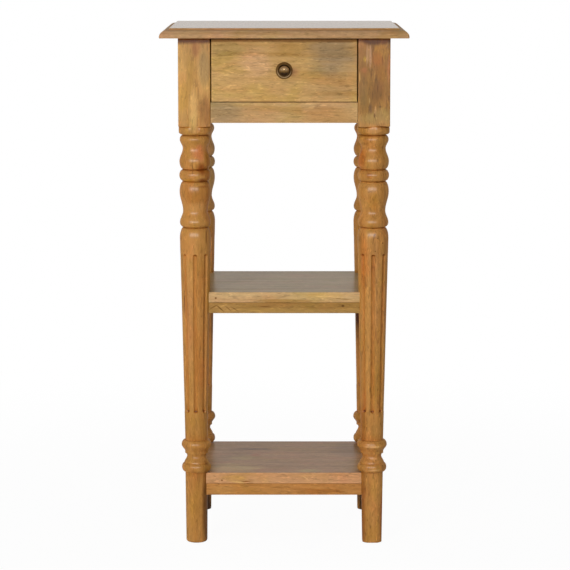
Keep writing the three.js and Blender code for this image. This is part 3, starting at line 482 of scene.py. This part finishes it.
# Each leg: its axis, its foot and kerf as turned_leg takes them, its place in the log, how strong its short figure
# is, and its washes, which on the front legs follow the patches, streaks, knots and pin holes of the real ones, and
# add painted shade on the inner sides and the sides of the feet and painted highlights on the right leg's lower
# beads. A painted shadow of the top darkens the blocks close under it, and the rear legs have painted shade on
# their inner sides.
LEGS = {
    "leg_front_left": {
        "axis": (-145, -120), "foot": (17.4, 18.5, 1.0, 4.0, 0.0), "kerf": (26.7, 0.0),
        "place": (0.31, 0.27, 0.4), "figure": 0.88,
        "washes": [
            # The block.
            ((-145, FACE_Y, 772), (70, 70, 90), paint(187, 142, 74), 1.0),
            ((-146, FACE_Y, 718), (8, 20, 40), paint(214, 176, 106), 0.9),
            ((-127, FACE_Y, 716), (13, 20, 34), paint(142, 98, 42), 0.9),
            ((-126, FACE_Y, 785), (14, 20, 34), paint(156, 122, 70), 0.85),
            ((-142, FACE_Y, 816), (8, 20, 18), paint(164, 112, 58), 0.8),
            ((-163, FACE_Y, 740), (9, 20, 28), paint(188, 138, 58), 0.7),
            # Painted shadow of the top, close under it.
            ((-145, FACE_Y, 831.5), (300, 300, 8.5), SHADOW_UNDER_TOP, 1.0),
            # The turnings, with painted shade on the inner side, most below the belly and under the ring.
            ((-136, -142, 649), (15, 20, 17), paint(204, 124, 82), 0.8),
            ((-132, -142, 621), (13, 14, 12), paint(140, 74, 22), 0.9),
            ((-131, -142, 603), (13, 14, 5), paint(130, 72, 30), 0.9),
            ((-155, -143, 603), (14, 14, 5), paint(176, 124, 36), 0.8),
            ((-148, -145, 622), (0.9, 6, 17), paint(104, 62, 26), 0.9),
            ((-131, -142, 593), (12, 14, 3), paint(136, 80, 30), 0.8),
            ((-124, -138, 618), (7, 24, 60), paint(156, 92, 32), 0.7),
            ((-145, -145, 582), (30, 16, 22), paint(164, 110, 48), 0.8),
            ((-140, -144, 560), (30, 14, 8), paint(190, 140, 78), 0.6),
            # The column, with painted shade on its inner side.
            ((-127, -138, 512), (1.2, 12, 14), paint(120, 74, 30), 0.8),
            ((-135, -145, 300), (10, 12, 170), paint(168, 106, 46), 0.7),
            ((-156, -140, 380), (9, 12, 110), paint(182, 128, 74), 0.7),
            ((-163, -132, 400), (1.4, 12, 22), paint(120, 76, 44), 0.7),
            # The foot, with painted shade on its inner side.
            ((-150, -145, 60), (14, 12, 70), paint(176, 128, 52), 0.7),
            ((-128, -132, 45), (8, 30, 90), paint(112, 74, 28), 0.9),
        ],
    },
    "leg_front_right": {
        "axis": (145, -120), "foot": (15.9, 17.9, 1.12, 1.4, 0.5), "kerf": (25.8, 0.9),
        "place": (0.62, 0.35, 0.9), "figure": 1.2,
        "washes": [
            # The block.
            ((145, FACE_Y, 772), (70, 70, 90), paint(145, 101, 43), 1.0),
            ((133.5, FACE_Y, 806), (2.6, 20, 20), paint(184, 140, 92), 0.9),
            ((138.5, FACE_Y, 804), (2.2, 20, 20), paint(184, 136, 94), 0.9),
            ((143, FACE_Y, 806), (2.2, 20, 18), paint(136, 88, 38), 0.9),
            ((156, FACE_Y, 810), (12, 20, 16), paint(174, 120, 44), 0.9),
            ((150, FACE_Y, 800), (8, 20, 12), paint(168, 104, 38), 0.8),
            ((158, FACE_Y, 797), (1.6, 20, 9), paint(128, 78, 24), 0.9),
            ((129.5, FACE_Y, 800), (3.5, 20, 6), paint(180, 138, 50), 0.8),
            ((156, FACE_Y, 776), (10, 20, 20), paint(148, 100, 34), 0.8),
            ((140, FACE_Y, 776), (1.4, 20, 12), paint(122, 76, 26), 0.8),
            ((145, FACE_Y, 771), (1.2, 20, 10), paint(178, 128, 60), 0.8),
            ((148.5, FACE_Y, 772), (1.0, 20, 14), paint(128, 80, 26), 0.8),
            ((121.5, FACE_Y, 770), (1.0, 20, 9), paint(200, 152, 84), 0.8),
            ((149, FACE_Y, 748), (15, 20, 24), paint(132, 88, 38), 0.9),
            ((150.5, FACE_Y, 752), (1.2, 20, 9), paint(104, 62, 20), 0.9),
            ((142.5, FACE_Y, 742), (1.2, 20, 10), paint(110, 68, 28), 0.8),
            ((137.5, FACE_Y, 733), (1.2, 20, 6), paint(182, 138, 82), 0.8),
            ((128, FACE_Y, 744), (8, 20, 34), paint(134, 99, 50), 0.8),
            ((139.5, FACE_Y, 718), (3.4, 20, 12), paint(126, 86, 48), 0.9),
            ((155, FACE_Y, 723), (3.0, 20, 2.6), paint(104, 68, 26), 0.9),
            ((160, FACE_Y, 712), (14, 20, 14), paint(166, 130, 70), 0.9),
            ((146, FACE_Y, 703), (34, 20, 12), paint(166, 130, 72), 0.9),
            ((145.5, FACE_Y, 709), (1.2, 20, 4), paint(112, 72, 34), 0.9),
            ((147, FACE_Y, 717), (1.6, 20, 7), paint(186, 138, 84), 0.8),
            ((162, FACE_Y, 713), (1.4, 20, 9), paint(184, 144, 80), 0.8),
            ((129, FACE_Y, 782), (6, 20, 6), paint(170, 104, 54), 0.6),
            ((169, FACE_Y, 782), (3.5, 20, 28), paint(178, 116, 68), 0.6),
            # Painted shadow of the top, close under it.
            ((145, FACE_Y, 831.5), (300, 300, 8.5), SHADOW_UNDER_TOP, 1.0),
            # The turnings, with painted shade on the inner side.
            ((124, -138, 640), (10, 24, 24), paint(176, 96, 36), 0.7),
            ((138, -144, 612), (8, 14, 8), paint(150, 88, 28), 0.7),
            ((145, -144, 566), (13, 14, 22), paint(180, 130, 58), 0.7),
            # The column, with painted shade on its inner side.
            ((130, -140, 470), (9, 16, 60), paint(184, 112, 50), 0.7),
            ((150, -145, 420), (8, 12, 110), paint(180, 130, 76), 0.6),
            ((152, -145, 509), (1.2, 6, 1.2), paint(90, 56, 24), 0.9),
            ((160, -140, 501), (1.3, 6, 1.4), paint(90, 56, 24), 0.9),
            ((148, -145, 488), (1.1, 6, 1.2), paint(90, 56, 24), 0.9),
            ((128, -138, 200), (10, 16, 40), paint(156, 96, 40), 0.6),
            # The beads above the foot: painted highlights.
            ((146, -144, 163.5), (15, 14, 2.4), paint(220, 174, 116), 0.8),
            ((147, -138, 142), (9, 16, 2.6), paint(212, 162, 104), 0.7),
            ((146, -144, 124), (14, 14, 2.2), paint(218, 170, 110), 0.8),
            # The foot, with painted shade on both sides.
            ((148, -145, 90), (9, 12, 30), paint(186, 134, 62), 0.7),
            ((147, -145, 66), (1.3, 6, 10), paint(140, 88, 30), 0.7),
            ((129, -134, 60), (7, 24, 90), paint(136, 82, 32), 0.8),
            ((162, -134, 40), (5, 24, 60), paint(150, 84, 34), 0.7),
        ],
    },
    "leg_rear_left": {
        "axis": (-145, 120), "foot": (16.7, 18.4, 1.08, 1.5, 0.0), "kerf": (27.2, 0.0),
        "place": (0.25, 0.81, 1.7), "figure": 0.95,
        "washes": [
            # On the inner side: painted shade on the foot and on the column under the middle shelf, and a lighter
            # tone on the turnings.
            ((-136, 98, 20), (40, 22, 120), paint(62, 40, 16), 1.0),
            ((-120, 110, 620), (20, 60, 110), paint(184, 146, 96), 0.8),
            ((-121, 92, 336), (12, 30, 84), paint(104, 68, 28), 0.9),
        ],
    },
    "leg_rear_right": {
        "axis": (145, 120), "foot": (16.7, 18.4, 1.08, 1.5, 0.0), "kerf": (27.2, 0.0),
        "place": (0.77, 0.49, 2.6), "figure": 0.95,
        "washes": [
            # Painted shade on the inner side of the foot and of the column under the middle shelf.
            ((136, 98, 20), (40, 22, 120), paint(56, 36, 14), 1.0),
            ((124, 92, 346), (20, 30, 96), paint(76, 36, 8), 1.0),
        ],
    },
}
for name, leg in LEGS.items():
    material = wood(
        name + "_wood", 2, LEG_WOOD, leg["place"], leg["washes"], leg["figure"], mottle=LEG_MOTTLE,
        hollow=LEG_GROOVE_SHADE, edge=LEG_EDGE_TONE,
    )
    points, hollow, edge = turned_leg(*leg["axis"], leg["foot"], leg["kerf"])
    made = skin("turned_" + name, points, "frame", "turned_wood", material, hollow=hollow, edge=edge)
    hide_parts(name)
    shone_on["strip"].objects.link(made)


# ---------------------------------------------------------------------------------------------------------------
# The rail under the drawer and the three aprons: planed boards with their arrises taken off, tenoned into the leg
# blocks and glued.
ARC_POINTS, ARC_BEYOND, LEAST_ROUNDING = 6, 0.25, 0.02


def section(corners, rounding, inset):
    """The outline of a right-angled shape given anticlockwise, once for each inset. At a corner P, u and v run back
    and on along its sides. The corner moves by inset (u + v), the other way where it is hollow, and its arc is
    P + r (u + v) less r (u sin t + v cos t), with one more point a little beyond each of the arc's ends."""
    here = np.array(corners, float)
    back = np.roll(here, 1, 0) - here
    ahead = np.roll(here, -1, 0) - here
    u = back / np.linalg.norm(back, axis=1)[:, None]
    v = ahead / np.linalg.norm(ahead, axis=1)[:, None]
    outward = np.sign(v[:, 0] * u[:, 1] - v[:, 1] * u[:, 0])[None, :, None]
    inset = np.atleast_1d(inset)[:, None, None]
    moved = here + outward * inset * (u + v)
    r = np.maximum(np.broadcast_to(rounding, len(here))[None, :, None] - outward * inset, LEAST_ROUNDING)
    r, moved, u, v = (a[:, :, None, :] for a in (r, moved, u[None], v[None]))
    t = np.linspace(0, math.pi / 2, ARC_POINTS)[None, None, :, None]
    arc = moved + r * (u + v) - r * (u * np.sin(t) + v * np.cos(t))
    loop = np.concatenate([arc[:, :, :1] + ARC_BEYOND * u, arc, arc[:, :, -1:] + ARC_BEYOND * v], 2)
    return loop.reshape(inset.shape[0], -1, 2)


def carried(corners, rounding, axis, start, end, eased):
    """Points of a bar in millimetres: a section carried along an axis from start to end. At both ends it draws in
    along a quarter circle of the eased size. Also the edge tone, 1 on every rounded arris and 0 on the faces."""
    t = np.linspace(0, math.pi / 2, 5)
    draw = np.concatenate([[eased + ARC_BEYOND], eased * (1 - np.sin(t)), [0]])
    run = np.concatenate([[0], eased * (1 - np.cos(t)), [eased + ARC_BEYOND]])
    inset = np.concatenate([draw, draw[::-1]])
    place = np.concatenate([start + run, (end - run)[::-1]])
    loop = section(corners, rounding, inset)
    length = np.broadcast_to(place[:, None, None], (*loop.shape[:2], 1))
    on_arris = np.tile([0.0] + [1.0] * ARC_POINTS + [0.0], len(corners))
    edge = np.where((inset > 0)[:, None], 1.0, on_arris)
    edge[[0, -1]] = 0
    return np.roll(np.concatenate([length, loop], -1), axis, -1) * MM, edge


def board(name, axis, low, high, eased, slot, material, replaced):
    """A planed board of the frame between two corners, with every arris rounded by the eased size. The upper tone,
    which a polished board's material reads as painted shade, is 1 on its top face."""
    p, q = (axis + 1) % 3, (axis + 2) % 3
    corners = [(low[p], low[q]), (high[p], low[q]), (high[p], high[q]), (low[p], high[q])]
    points, edge = carried(corners, eased, axis, low[axis], high[axis], eased)
    upper = (points[..., 2] > (high[2] - 0.05) * MM).astype(float)
    made = skin(name, points, "frame", slot, material, edge=edge, upper=upper)
    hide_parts(replaced)


HONEY_WOOD = paint(190, 154, 106)
ARRIS_TONE, ARRIS_EASED = 0.10, 0.8
RAIL_BACK_Y, RAIL_HIGH = -126, 730
APRON_X, APRON_Y, APRON_LOW, APRON_HIGH = 118.7, 93.7, 697, 833.7
BACK_APRON_Y, SIDE_APRON_X = (125, 143), (150, 168)
rail_wood = wood("rail_wood", 0, HONEY_WOOD, (0.1, 0.52, 0.93), [
    ((-100, FACE_Y, 713), (40, 30, 26), paint(163, 137, 100), 0.9),
    ((70, FACE_Y, 708), (60, 30, 18), paint(180, 137, 84), 0.8),
], edge=ARRIS_TONE)
board(
    "under_drawer_rail", 0, (-APRON_X, FACE_Y, APRON_LOW), (APRON_X, RAIL_BACK_Y, RAIL_HIGH), ARRIS_EASED,
    "honey_wood", rail_wood, "drawer_rail",
)
near, far = BACK_APRON_Y
board(
    "back_board", 0, (-APRON_X, near, APRON_LOW), (APRON_X, far, APRON_HIGH), ARRIS_EASED, "honey_wood",
    wood("back_wood", 0, HONEY_WOOD, (0.5, 0.32, 0.23), edge=ARRIS_TONE), "back_apron",
)
for side, hand in ((-1, "left"), (1, "right")):
    near, far = sorted(side * x for x in SIDE_APRON_X)
    board(
        "side_board_" + hand, 1, (near, -APRON_Y, APRON_LOW), (far, APRON_Y, APRON_HIGH), ARRIS_EASED, "honey_wood",
        wood("side_wood_" + hand, 1, HONEY_WOOD, (0.3, 0.1 * side, 0.63), edge=ARRIS_TONE), "side_apron_" + hand,
    )


# ---------------------------------------------------------------------------------------------------------------
# The drawer's bearers and the battens under the top: runners, guides, stops and battens of plain, unlacquered wood,
# glued and screwed inside where nobody looks.
def dress(node, material):
    """Gives its material to a solid of the CAD model that is shown as it is."""
    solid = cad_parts[node]
    solid.data.materials.clear()
    solid.data.materials.append(material)


PLAIN_WOOD = paint(200, 170, 126)
for side, hand in ((-1, "left"), (1, "right")):
    for k, node in enumerate(("runner", "guide", "drawer_stop", "top_batten")):
        material = wood(f"{node}_wood_{hand}", 1, PLAIN_WOOD, (0.2 * k, 0.3 * side, 0.1), roughness=0.62, coat=0.0)
        dress(f"{node}_{hand}", material)

# ---------------------------------------------------------------------------------------------------------------
# The shelves: two boards that stand on rails let into the legs, both with a narrow reveal. The boards show light
# honey wood at their edges, the rails a browner one, partly painted shade under the boards, with a small knot here
# and there.
SHELF_X, SHELF_Y, SHELF_EASED = 154, 129, 1.0
LONG_RAIL_X, LONG_RAIL_Y = 132, (108, 128)
SHORT_RAIL_X, SHORT_RAIL_Y = (133, 153), 107
# Each shelf: the lower and upper heights of its board and of its rails, and their finish, whose polish also paints
# shade on the board's top face.
SHELVES = {
    "middle": {
        "board": (401.5, 418.5), "rails": (383.7, 401.2), "polish": 0.25,
        # The rails' colour is browner, partly painted shade under the board.
        "board_colour": paint(196, 162, 114), "rail_colour": paint(164, 127, 70),
        "board_washes": [
            ((-112, -129, 409), (2.0, 4, 1.8), paint(110, 72, 30), 0.9),
            ((0, -129, 404), (60, 6, 4), paint(176, 138, 76), 0.8),
            ((70, -129, 414), (50, 6, 5), paint(206, 166, 108), 0.8),
            ((64, -129, 412), (22, 4, 1.6), paint(220, 182, 126), 0.7),
            ((100, -129, 407), (22, 4, 1.3), paint(146, 106, 54), 0.8, 5),
        ],
        "rail_washes": [
            ((96, -128, 396), (3.0, 4, 2.2), paint(96, 62, 26), 0.9),
            ((-95, -128, 392), (26, 8, 6), paint(184, 144, 84), 0.8),
            ((-104, -128, 391), (10, 4, 1.5), paint(120, 84, 38), 0.9, 42),
            ((-91, -128, 391), (9, 4, 1.2), paint(128, 92, 44), 0.8, 40),
            ((-80, -128, 390), (10, 4, 1.4), paint(120, 84, 38), 0.8, 32),
            ((-116, -128, 394), (8, 4, 1.2), paint(120, 84, 38), 0.8, -30),
            ((-30, -128, 388), (60, 8, 5), paint(172, 134, 72), 0.7),
            ((-33, -128, 395), (14, 4, 1.6), paint(124, 88, 40), 0.8, 4),
        ],
    },
    "lower": {
        "board": (99.0, 117.3), "rails": (79.7, 98.7), "polish": 0.19,
        # The rails' colour is browner, partly painted shade under the board.
        "board_colour": paint(198, 148, 103), "rail_colour": paint(182, 127, 68),
        "board_washes": [
            ((-103, -129, 104.5), (3.0, 4, 2.4), paint(112, 68, 30), 1.0),
            ((-63, -129, 102.5), (15, 4, 1.2), paint(132, 86, 40), 1.0, -6),
            ((-76, -129, 101.5), (16, 4, 1.6), paint(222, 178, 112), 0.9, 8),
            ((36, -129, 108), (9, 4, 1.6), paint(224, 178, 124), 0.8, 35),
            ((-95, -90, 117), (60, 36, 6), paint(226, 186, 116), 0.6),
            ((-52, 62, 117.3), (40, 6, 4), paint(120, 88, 56), 0.9),
            ((-72, -13, 117.3), (34, 20, 6), paint(208, 172, 108), 0.5),
            ((-49, 13, 117.3), (10, 14, 6), paint(190, 116, 74), 0.5),
            ((41, -112, 117.3), (26, 16, 6), paint(212, 180, 112), 0.6),
            ((110, 40, 117.3), (34, 70, 6), paint(168, 126, 92), 0.6),
            ((-85, -129, 108), (30, 6, 7), paint(188, 142, 80), 0.7),
            ((45, -129, 112), (30, 6, 4), paint(206, 156, 106), 0.7),
        ],
        "rail_washes": [
            ((-100, -128, 88), (22, 8, 9), paint(184, 134, 74), 0.7),
            ((60, -128, 86), (40, 8, 6), paint(166, 106, 46), 0.7),
        ],
    },
}
for level, shelf in SHELVES.items():
    low, high = shelf["board"]
    material = wood(
        f"{level}_board_wood", 0, shelf["board_colour"], (0.2, 0.15, high * MM), shelf["board_washes"],
        edge=ARRIS_TONE, polish=shelf["polish"],
    )
    board(
        f"{level}_board", 0, (-SHELF_X, -SHELF_Y, low), (SHELF_X, SHELF_Y, high), SHELF_EASED, "shelf_wood", material,
        f"{level}_shelf_board",
    )
    low, high = shelf["rails"]
    for end, row in ((-1, "front"), (1, "rear")):
        near, far = sorted(end * y for y in LONG_RAIL_Y)
        material = wood(
            f"{level}_rail_{row}_wood", 0, shelf["rail_colour"], (0.4, 0.25, low * MM), shelf["rail_washes"],
        )
        board(
            f"{level}_rail_{row}", 0, (-LONG_RAIL_X, near, low), (LONG_RAIL_X, far, high), ARRIS_EASED, "shelf_wood",
            material, f"{level}_shelf_rail_{row}",
        )
    for side, hand in ((-1, "left"), (1, "right")):
        near, far = sorted(side * x for x in SHORT_RAIL_X)
        material = wood(f"{level}_rail_{hand}_wood", 1, shelf["rail_colour"], (0.3, 0.35, low * MM))
        board(
            f"{level}_rail_{hand}", 1, (near, -SHORT_RAIL_Y, low), (far, SHORT_RAIL_Y, high), ARRIS_EASED,
            "shelf_wood", material, f"{level}_shelf_rail_{hand}",
        )

# ---------------------------------------------------------------------------------------------------------------
# The top: one board that the battens hold from below, with an ovolo under a small quirk run round all four edges by
# a moulding cutter. Its face is polished and darker with painted shade, and painted shade darkens the quirk.
TOP_X, TOP_Y, TOP_ROUNDING = 200, 175, 2.0
TOP_LOW, OVOLO_LOW, OVOLO_HIGH, TOP_HIGH = 834.0, 836.0, 847.0, 850.0
OVOLO_IN, QUIRK_IN = 13.5, 15.5
TOP_FACE_SHADE, TOP_QUIRK_SHADE = 0.73, 0.6
# How far in from the edge and how high the moulding runs: the rounded lower edge, the ovolo as a quarter of an
# ellipse, and the quirk up to the rounded edge of the face.
quarter = np.linspace(0, math.pi / 2, 14)
TOP_PROFILE = np.concatenate([
    [[3.0, TOP_LOW], [1.3, TOP_LOW], [1.0, TOP_LOW], [0.3, 834.3], [0.0, 835.0], [0.0, OVOLO_LOW]],
    np.stack([OVOLO_IN * (1 - np.cos(quarter)), OVOLO_LOW + (OVOLO_HIGH - OVOLO_LOW) * np.sin(quarter)], 1)[1:],
    [[15.2, OVOLO_HIGH], [QUIRK_IN, 847.1], [QUIRK_IN, 849.2], [15.7, 849.8], [16.3, TOP_HIGH], [17.0, TOP_HIGH]],
])
top_in, top_z = TOP_PROFILE[:, :1], TOP_PROFILE[:, 1:]
loop = section([(-TOP_X, -TOP_Y), (TOP_X, -TOP_Y), (TOP_X, TOP_Y), (-TOP_X, TOP_Y)], TOP_ROUNDING, top_in[:, 0])
height = np.broadcast_to(top_z[:, :, None], (*loop.shape[:2], 1))
# The upper tone paints shade on the face and the hollow tone paints shade in the quirk.
top = skin(
    "moulded_top", np.concatenate([loop, height], -1) * MM, "frame", "honey_wood",
    wood(
        "top_wood", 0, paint(180, 143, 103), (0.35, 0.6, 0.2), hollow=TOP_QUIRK_SHADE, polish=1.0, coat=0.12,
        coat_roughness=0.2,
    ),
    hollow=bell(top_z, 847.3, 1.2) * bell(top_in, 15.2, 1.5), upper=TOP_FACE_SHADE * (top_z > TOP_HIGH - 0.5),
)
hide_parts("top_panel")

# ---------------------------------------------------------------------------------------------------------------
# The drawer: a front lapped over its two sides, a back let into them and a thin bottom in grooves. The box is plain
# wood and the front is lacquered like the rail.
FRONT_X, FRONT_LOW, FRONT_HIGH, FRONT_EASED = 117.3, 731.2, 831.5, 1.0
LAP_X, LAP_Y, INSIDE_Y = 105.7, -137, -128
FRONT_SECTION = [
    (-FRONT_X, FACE_Y), (FRONT_X, FACE_Y), (FRONT_X, LAP_Y), (LAP_X, LAP_Y),
    (LAP_X, INSIDE_Y), (-LAP_X, INSIDE_Y), (-LAP_X, LAP_Y), (-FRONT_X, LAP_Y),
]
FRONT_ROUNDING = [1.6, 1.2, 0.4, 0.2, 0.4, 0.4, 0.2, 0.4]
front_wood = wood("front_wood", 0, paint(191, 153, 98), (0.15, 0.4, 0.55), [
    ((78, FACE_Y, 802), (50, 40, 36), paint(157, 132, 97), 1.0),
    ((-45, FACE_Y, 792), (28, 40, 28), paint(202, 160, 116), 0.8),
    ((-88, FACE_Y, 818), (36, 40, 13), paint(172, 143, 88), 0.8),
    ((8, FACE_Y, 812), (34, 40, 16), paint(176, 138, 78), 0.8),
    ((75, FACE_Y, 748), (46, 40, 15), paint(172, 142, 93), 0.8),
    # Painted shadow of the top along the front's upper edge.
    ((0, FACE_Y, 830.5), (600, 40, 4.5), SHADOW_UNDER_TOP, 0.7),
    # Painted shadow of the knob, to its right.
    ((14, FACE_Y, 779), (10, 20, 9), paint(160, 108, 78), 0.5),
], edge=ARRIS_TONE)
points, edge = carried(FRONT_SECTION, FRONT_ROUNDING, 2, FRONT_LOW, FRONT_HIGH, FRONT_EASED)
front = skin("lapped_drawer_front", points, "drawer", "honey_wood", front_wood, edge=edge)
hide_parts("drawer_front")
for k, (node, grain) in enumerate((("side_left", 1), ("side_right", 1), ("back", 0), ("bottom", 0))):
    material = wood(f"drawer_{node}_wood", grain, PLAIN_WOOD, (0.31 * k, 0.17, 0.4), roughness=0.6, coat=0.0)
    dress("drawer_" + node, material)


# ---------------------------------------------------------------------------------------------------------------
# The knob on its rosette: two small turnings of brass, aged to a dark bronze, and held from inside by a screw. Bare
# brass on the rim's lower half is a painted highlight, on the knob's crown wear and a painted highlight, and
# painted shade darkens the dish and the knob's lower half.
# The darkest patina is where the painted shade falls.
PATINA_IN_PAINTED_SHADE, PATINA, BARE_BRASS = paint(44, 26, 8), paint(108, 80, 42), paint(168, 140, 104)


def brass(name, roughness, pitted):
    """Dark patina over brass, darker still where the wear-and-light tone is below zero, which paints shade. A tone
    above zero, which paints wear and highlights, and a fine noise bare the metal."""
    material = bpy.data.materials.new(name)
    spot = clean_tree(material).node("TexCoord", out="Object")
    fine = spot.node("TexNoise", {}, {"Vector": spot, "Scale": 420.0, "Detail": 4.0, "Roughness": 0.6})
    cloud = spot.node("TexNoise", {}, {"Vector": spot, "Scale": 90.0, "Detail": 2.0, "Roughness": 0.5})
    worn = tone(spot, "worn")
    bare = ease(worn + fine * 0.4 + cloud * 0.3, 0.45, 1.15)
    patina = blend(ease(worn + fine * 0.3, -0.55, 0.25), PATINA_IN_PAINTED_SHADE, PATINA)
    colour = blend(bare, patina, BARE_BRASS)
    bump = spot.node("Bump", {}, {"Strength": pitted, "Distance": 0.0003, "Height": fine})
    values = {
        "Base Color": colour, "Metallic": 0.5, "Roughness": roughness - bare * 0.1 + fine * 0.1, "Normal": bump,
        "Specular IOR Level": 0.15,
    }
    spot.node("OutputMaterial", {}, {"Surface": spot.node("BsdfPrincipled", {}, values)})
    return material


KNOB_Z = 781.35
around = np.linspace(0, 2 * math.pi, 65)[:-1]


def turned_metal(name, profile, replaced, worn, material):
    """Profile points (radius, distance out of the drawer's face) turned about the knob's axis, in millimetres."""
    radius, out = profile[:, :1], profile[:, 1:]
    y = np.broadcast_to(FACE_Y - out, (len(profile), around.size))
    points = np.stack([radius * np.cos(around), y, KNOB_Z + radius * np.sin(around)], -1) * MM
    made = skin(name, points, "drawer", "aged_brass", material, crease=35, worn=worn)
    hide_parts(replaced)
    return made


# The rosette runs from its edge up an S curve to the rim, down a quarter of an ellipse into the dish, and in to a
# low collar. The knob is a flattened ball on a neck.
ROSETTE_RADIUS, RIM_RADIUS, DISH_RADIUS, RIM_OUT, DISH_OUT = 13.7, 10.8, 8.6, 2.7, 1.0
flank = np.linspace(0, 1, 9)
fall = np.linspace(0.15, 1, 7)
ROSETTE = np.concatenate([
    np.stack([
        ROSETTE_RADIUS - (ROSETTE_RADIUS - RIM_RADIUS) * flank, RIM_OUT * (1 - np.cos(math.pi * flank)) / 2,
    ], 1),
    np.stack([
        RIM_RADIUS - (RIM_RADIUS - DISH_RADIUS) * fall, DISH_OUT + (RIM_OUT - DISH_OUT) * np.cos(fall * math.pi / 2),
    ], 1),
    [[5.4, DISH_OUT], [4.8, 1.3], [4.6, 2.8], [4.3, 3.0]],
])
NECK_RADIUS, BALL_RADIUS, BALL_HALF, BALL_OUT = 3.3, 7.9, 6.75, 14.75
ball = np.linspace(0, math.pi, 33)[5:-1]
KNOB = np.concatenate([
    [[3.4, 3.3], [NECK_RADIUS, 5.0], [NECK_RADIUS, 8.0]],
    np.stack([BALL_RADIUS * np.sin(ball), BALL_OUT - BALL_HALF * np.cos(ball)], 1),
    [[0.2, BALL_OUT + BALL_HALF]],
])
# The rosette's rim is bare on its lower half, a painted highlight, and its dish is dark with painted shade. The knob
# is bare on its upper half, wear and a painted highlight, and darker on its lower half with painted shade.
rim = bell(ROSETTE[:, :1], 10.6, 1.0) * (ROSETTE[:, 1:] > 1.6)
dish = bell(ROSETTE[:, :1], 8.4, 1.4)
rosette_worn = rim * np.clip(0.35 - 0.9 * np.sin(around), 0, 1) - 0.7 * dish * (0.6 + 0.4 * np.sin(around))
knob_worn = np.clip(1.3 * np.sin(around), -1, 0.6) * np.clip(KNOB[:, :1] / 5.5, 0, 1) + 0.1
turned_metal("rosette_turning", ROSETTE, "knob_rosette", rosette_worn, brass("rosette_brass", 0.42, 0.2))
knob = turned_metal("knob_turning", KNOB, "knob", knob_worn, brass("knob_brass", 0.24, 0.03))
shone_on["glint"].objects.link(knob)

# ---------------------------------------------------------------------------------------------------------------
# The screws: zinc-plated steel with countersunk heads. They hold the guides, the battens, the shelves and the knob,
# where nobody looks.
zinc = bpy.data.materials.new("zinc")
spot = clean_tree(zinc).node("TexCoord", out="Object")
fine = spot.node("TexNoise", {}, {"Vector": spot, "Scale": 300.0, "Detail": 3.0})
grey = blend(fine, paint(150, 152, 156), paint(196, 198, 200))
values = {"Base Color": grey, "Metallic": 1.0, "Roughness": 0.28 + fine * 0.2}
spot.node("OutputMaterial", {}, {"Surface": spot.node("BsdfPrincipled", {}, values)})
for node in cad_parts:
    if "screw" in node:
        dress(node, zinc)
